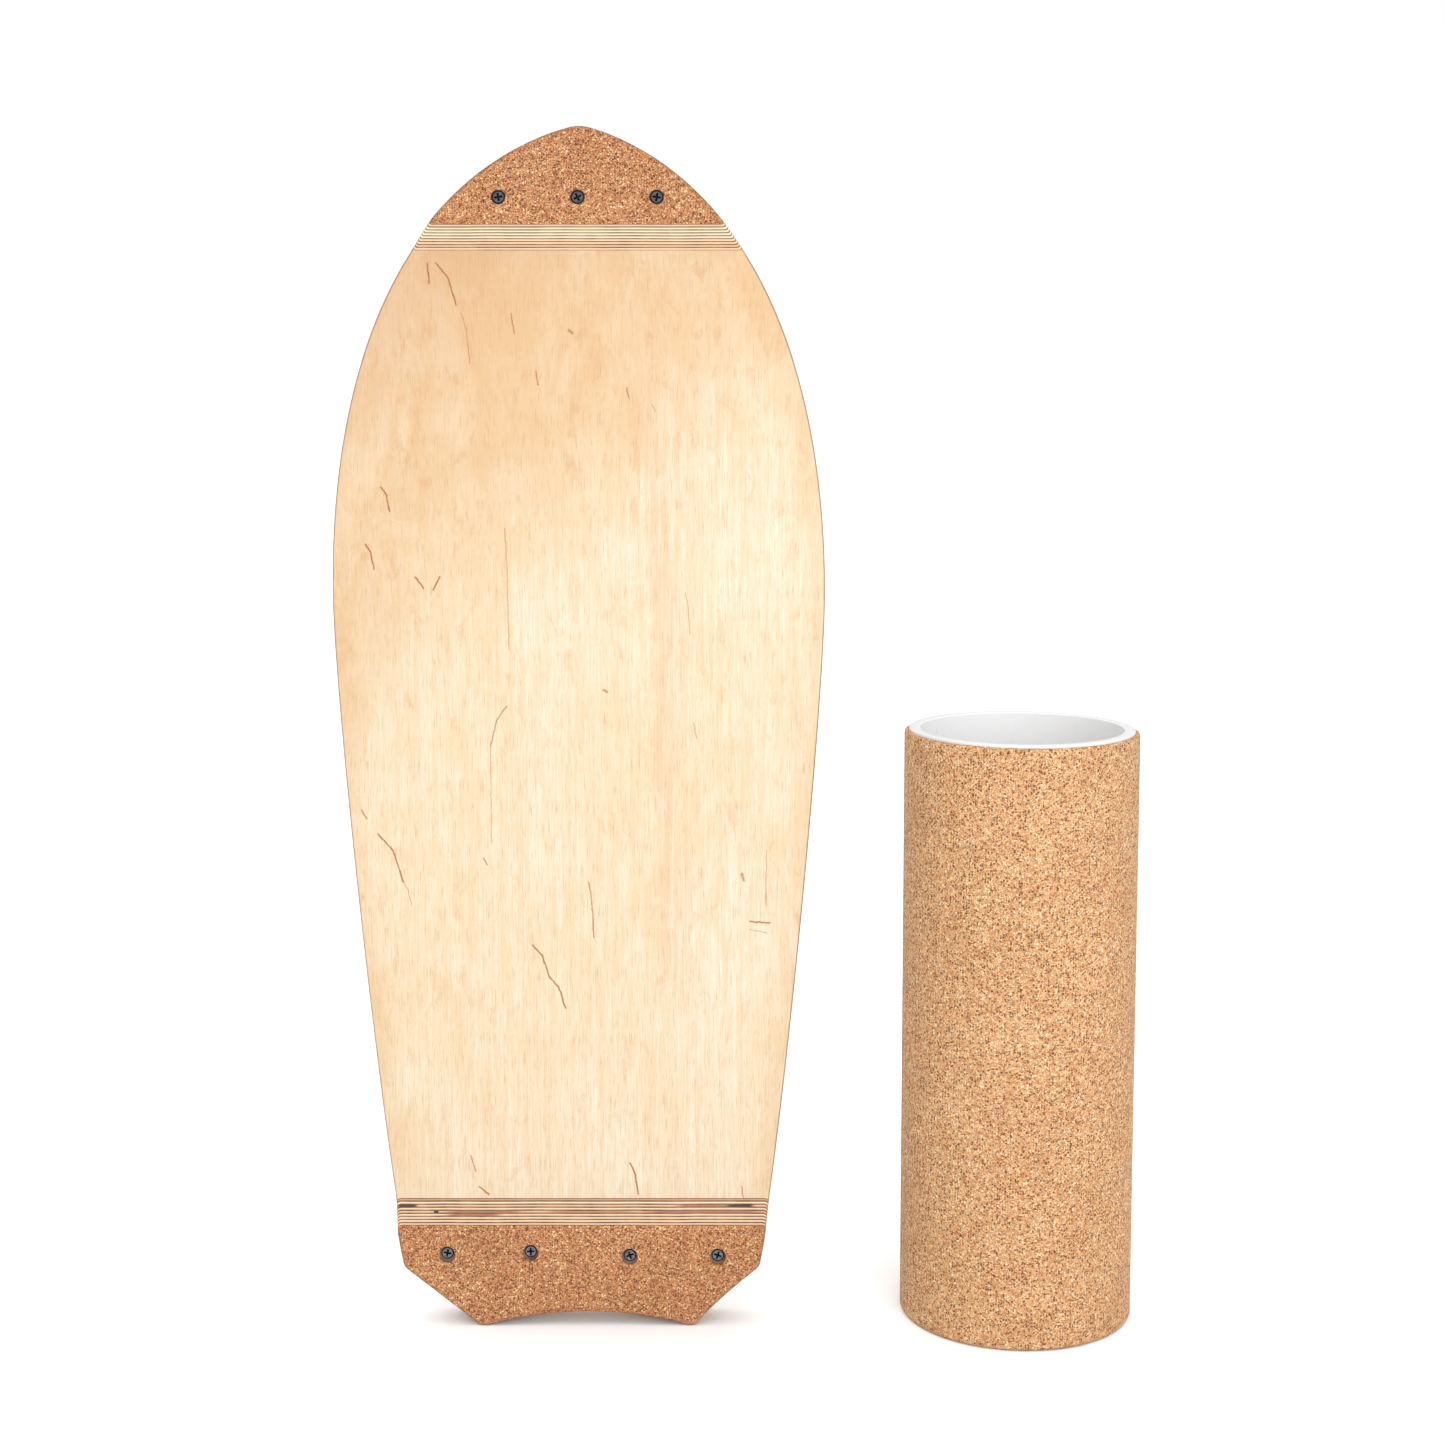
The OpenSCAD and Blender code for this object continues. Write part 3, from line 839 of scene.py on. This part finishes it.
def cork(name, grain, palette, gap_tone, speck_tone, pale_tone, lift):
    """Pressed cork: granules of many tones in two sizes with dark binder between them, and
    scattered specks of bark and pale flecks. The lift makes up for the light lost in the gaps."""
    paint = Paint(name, 0.82, Specular_IOR_Level=0.3)
    uneven = paint.shaken(700, 0.7 * MM)

    def cells(size):
        inputs = {"Vector": uneven, "Scale": 1 / size}
        centres = paint.node("ShaderNodeTexVoronoi", inputs).outputs
        rims = paint.node("ShaderNodeTexVoronoi", inputs, feature="DISTANCE_TO_EDGE").outputs[0]
        return centres["Distance"], rims, paint.node("ShaderNodeSeparateColor", {0: centres["Color"]}).outputs

    stops = [(share, look(*tone)) for share, tone in palette]
    sizes = []
    for size in (grain, grain * 0.6):
        _, rims, random = cells(size)
        gap = paint.step(rims, 0.15, 0.02)
        granule = paint.ramp(random[0], stops)
        sizes.append((paint.mix(paint.math("MULTIPLY", gap, 0.7), granule, look(*gap_tone)), gap, random[1]))
    pick = paint.step(paint.noise(1 / (grain * 2.2), 2), 0.42, 0.56)
    colour = paint.mix(pick, sizes[0][0], sizes[1][0])
    middle, _, random = cells(grain * 1.45)
    speck = paint.math("MULTIPLY", paint.step(middle, 0.5, 0.3), paint.step(random[0], 0.52, 0.66))
    colour = paint.mix(paint.math("MULTIPLY", speck, 0.85), colour, look(*speck_tone))
    pale = paint.math("MULTIPLY", paint.step(middle, 0.5, 0.3), paint.step(random[0], 0.16, 0.06))
    colour = paint.mix(paint.math("MULTIPLY", pale, 0.85), colour, look(*pale_tone))
    cloud = paint.span(paint.noise(26, 4, (1, 1, 1), 0.65), 0.3, 0.7)
    clump = paint.span(paint.noise(0.32 / grain, 3, (1, 1, 1), 0.6), 0.34, 0.66)
    cloud = paint.math("ADD", paint.math("MULTIPLY", cloud, 0.45), paint.math("MULTIPLY", clump, 0.55))
    shades = [(share, (*[v * up for v, up in zip(tint, lift)], 1))
              for share, tint in ((0, (0.82, 0.75, 0.68)), (1, (1.12, 1.15, 1.18)))]
    shade = paint.ramp(cloud, shades)
    colour = paint.mix(1.0, colour, shade, "MULTIPLY")
    height = paint.math("ADD", paint.math("MULTIPLY", sizes[0][1], -1.0), sizes[1][2])
    height = paint.math("SUBTRACT", height, speck)
    normal = paint.bump(height, 0.16 * MM)
    normal = paint.bump(paint.noise(2600, 2), 0.08 * MM, normal)
    return paint, colour, normal


def sleeve_cork():
    """The roller's lighter cork, with the dark line of its butt joint."""
    palette = [(0.0, (174, 106, 60)), (0.22, (222, 168, 114)), (0.6, (252, 208, 152)), (1.0, (255, 238, 194))]
    paint, colour, normal = cork("sleeve_cork", 1.05 * MM, palette, gap_tone=(150, 92, 52),
                                 speck_tone=(98, 44, 16), pale_tone=(255, 244, 210), lift=(1.29, 1.2, 1.17))
    joint = paint.near(paint.x, roller_x, 0.2 * MM, 0.35 * MM)
    joint = paint.math("MULTIPLY", joint, paint.step(paint.y, 0.06, 0.065))
    colour = paint.mix(paint.math("MULTIPLY", joint, 0.7), colour, look(110, 68, 42))
    return paint.finish(colour, None, normal)


def pad_cork():
    """The stops' redder cork, with painted shade along its rounded rim."""
    palette = [(0.0, (152, 84, 48)), (0.3, (206, 134, 86)), (0.65, (238, 168, 116)), (1.0, (255, 210, 156))]
    paint, colour, normal = cork("pad_cork", 1.0 * MM, palette, gap_tone=(124, 62, 36),
                                 speck_tone=(98, 50, 28), pale_tone=(255, 224, 170), lift=(1.24, 1.32, 1.34))
    rim = paint.mask("rim")
    # Painted shade: a soft band and a thin dark line along the rounded rim, where it turns away from the
    # light.
    for far, near, strength, tone in ((4, 0.5, 0.3, (186, 120, 80)), (0.9, 0.2, 0.6, (112, 72, 56))):
        dark = paint.math("MULTIPLY", paint.step(rim, far * MM, near * MM), strength)
        colour = paint.mix(dark, colour, look(*tone))
    return paint.finish(colour, None, normal)


def phosphate_steel(name, face):
    """Black phosphated screws, grey on their faces, with painted shade on the head's rim and in its cross."""
    paint = Paint(name, 0.5, Metallic=0.45, Specular_IOR_Level=0.25)
    mottle = paint.span(paint.noise(1300, 4, (1, 1, 1), 0.7), 0.3, 0.7)
    tones = [(0, 0.6), (0.5, 1), (1, 1.4)]
    colour = paint.ramp(mottle, [(share, look(*[level * v for v in face])) for share, level in tones])
    # Painted shade: the head's rounded rim is near black for the shadow in the gap around it; below the rim
    # the black is the phosphate's own.
    side = paint.mask("side")
    colour = paint.mix(side, colour, look(30, 27, 30))
    # Painted shade: the cross recess is near black for the shade deep inside it.
    recess = paint.mask("recess")
    colour = paint.mix(recess, colour, look(5, 5, 6))
    roughness = paint.math("ADD", paint.math("MULTIPLY", mottle, 0.2), 0.38)
    return paint.finish(colour, roughness, paint.bump(mottle, 0.03 * MM))


def white_plastic():
    """White extruded pipe: faint draw lines along it, saw marks on its ends, light scuffs, and a painted
    light on its inside wall.
    """
    paint = Paint("white_plastic", 0.38, Specular_IOR_Level=0.45)
    draw = paint.span(paint.noise(900, 2, (1, 1, 0.008)), 0.3, 0.7)
    cloud = paint.span(paint.noise(30, 3), 0.3, 0.7)
    scuff = paint.step(paint.noise(300, 4, (1, 1, 0.25), 0.7), 0.62, 0.72)
    tone = paint.math("ADD", paint.math("MULTIPLY", draw, 0.5), paint.math("MULTIPLY", cloud, 0.5))
    colour = paint.mix(tone, look(254, 254, 254), look(255, 255, 255))
    inner = radii("roller_tube")[0]
    across = paint.node("ShaderNodeVectorMath", {0: paint.place, 1: (roller_x, 0, 0)}, operation="SUBTRACT")
    flat = paint.node("ShaderNodeVectorMath", {0: across.outputs[0], 1: (1, 1, 0)}, operation="MULTIPLY")
    radius = paint.node("ShaderNodeVectorMath", {0: flat.outputs[0]}, operation="LENGTH").outputs["Value"]
    # Painted light: the inside wall is brighter than the outside, making up for the shade inside the tube.
    bore_light = paint.step(radius, inner + 0.6 * MM, inner + 0.1 * MM)
    colour = paint.mix(bore_light, colour, (0.8, 0.8, 0.8, 1))
    colour = paint.mix(paint.math("MULTIPLY", scuff, 0.3), colour, look(214, 214, 213))
    saw = paint.noise(1500, 2, (1, 0.05, 1))
    normal = paint.bump(paint.math("ADD", draw, saw), 0.015 * MM)
    return paint.finish(colour, paint.math("ADD", paint.math("MULTIPLY", cloud, 0.12), 0.32), normal)


# ---- Camera, light and floor ---------------------------------------------------------------

def add_camera():
    """The camera stands level with the deck's upper half and looks slightly down."""
    data = bpy.data.cameras.new("camera")
    data.sensor_width = 36
    data.lens = 61.57
    data.shift_y = -0.0765
    camera = bpy.data.objects.new("camera", data)
    camera.location = (-0.0104, -1.5219, 0.6165)
    camera.rotation_euler = (math.radians(90 - 6.375), 0, 0)
    bpy.context.scene.collection.objects.link(camera)
    bpy.context.scene.camera = camera


def add_light(name, place, aim, size, power):
    """A square softbox at a place, facing a point."""
    data = bpy.data.lights.new(name, "AREA")
    data.size = size
    data.energy = power
    light = bpy.data.objects.new(name, data)
    light.location = place
    light.rotation_euler = (Vector(aim) - Vector(place)).to_track_quat("-Z", "Y").to_euler()
    bpy.context.scene.collection.objects.link(light)


def add_surroundings(ambient):
    """A white studio: even light from all round, two softboxes, and a white floor."""
    world = bpy.data.worlds.new("studio")
    world.use_nodes = True
    tree = world.node_tree
    seen = tree.nodes.new("ShaderNodeLightPath").outputs["Is Camera Ray"]
    strength = tree.nodes.new("ShaderNodeMapRange")
    strength.inputs["To Min"].default_value = ambient
    strength.inputs["To Max"].default_value = 1
    tree.links.new(seen, strength.inputs["Value"])
    tree.nodes["Background"].inputs["Color"].default_value = (1, 1, 1, 1)
    tree.links.new(strength.outputs[0], tree.nodes["Background"].inputs["Strength"])
    bpy.context.scene.world = world
    middle = (0, 0, 0.3)
    add_light("key", (0.9, -2.4, 0.8), middle, 1.8, 40)
    add_light("fill", (-1.4, -2.0, 0.5), middle, 1.6, 7)
    sky = bpy.data.objects.new("overhead", bpy.data.lights.new("overhead", "SUN"))
    sky.data.energy = 2.2
    sky.data.angle = math.radians(100)
    bpy.context.scene.collection.objects.link(sky)

    mesh = bpy.data.meshes.new("floor")
    half = 60
    corners = [(-half, -half, 0), (half, -half, 0), (half, half, 0), (-half, half, 0)]
    mesh.from_pydata(corners, [], [(0, 1, 2, 3)])
    floor = bpy.data.objects.new("floor", mesh)
    bpy.context.scene.collection.objects.link(floor)
    paint = Paint("floor_paper", 0.9)
    grain = paint.noise(60, 2)
    mesh.materials.append(paint.finish(paint.mix(grain, (0.9, 0.905, 0.92, 1), (0.92, 0.925, 0.94, 1))))
    bpy.context.scene.view_settings.view_transform = "Standard"


# ---- The scene -----------------------------------------------------------------------------

# The stops' layers from back to front, in a few tones of birch. The tail's first layer, against the deck, is
# brown partly for its wood and partly as painted shade in its corner with the deck.
PALE, LIGHT, TAN, BROWN = (255, 234, 196), (252, 216, 174), (240, 196, 152), (210, 156, 110)
NOSE_TONES = [LIGHT, TAN, LIGHT, LIGHT, PALE, PALE, PALE, PALE, TAN]
TAIL_TONES = [BROWN, PALE, TAN, LIGHT, TAN, LIGHT, LIGHT, LIGHT, TAN]

# The knots in the tail's layers as (x from, x to, layer, tone), in millimetres from the deck's
# centre line. A later one covers an earlier one.
RED, DARK = (198, 130, 98), (60, 42, 40)
TAIL_KNOTS = [(-84, -40, 4, RED), (-84, -52, 5, RED), (60, 94, 2, RED), (40, 112, 4, RED),
              (-20, 30, 4, BROWN), (-93, -90, 4, DARK), (-116, -104, 2, DARK), (91, 107, 2, DARK)]

# The glue between the layers as (tone, width as a share of a layer), and the holes in the cork
# over the screws as (half width, half height, how far the middle is below the screw).
NOSE_GLUE, TAIL_GLUE = ((84, 38, 12), 0.32), ((84, 32, 12), 0.38)
NOSE_HOLE, TAIL_HOLE = (4.4 * MM, 4.4 * MM, 0), (4.9 * MM, 5.3 * MM, 0.3 * MM)

add_camera()
add_surroundings(AMBIENT)
outline = deck_outline()
pads = pad_cork()
deck(outline, [*NOSE_SCREWS, *TAIL_SCREWS], birch_board())
nose_wood = stop_ply("nose", NOSE_TONES, *NOSE_GLUE, [])
stop("nose", True, outline, NOSE_SCREWS, NOSE_HOLE, nose_wood, pads)
tail_wood = stop_ply("tail", TAIL_TONES, *TAIL_GLUE, TAIL_KNOTS)
stop("tail", False, outline, TAIL_SCREWS, TAIL_HOLE, tail_wood, pads)
# Painted light: the tail's screws, whose faces tilt up towards the light, get a lighter copy of the nose's
# steel.
for screws, name, face in ((NOSE_SCREWS, "black_steel", (92, 92, 95)),
                           (TAIL_SCREWS, "lit_tail_steel", (128, 124, 130))):
    steel = phosphate_steel(name, face)
    for node, turn in screws.items():
        screw(node, turn, steel)
roller_tube(white_plastic())
roller_cork(sleeve_cork())
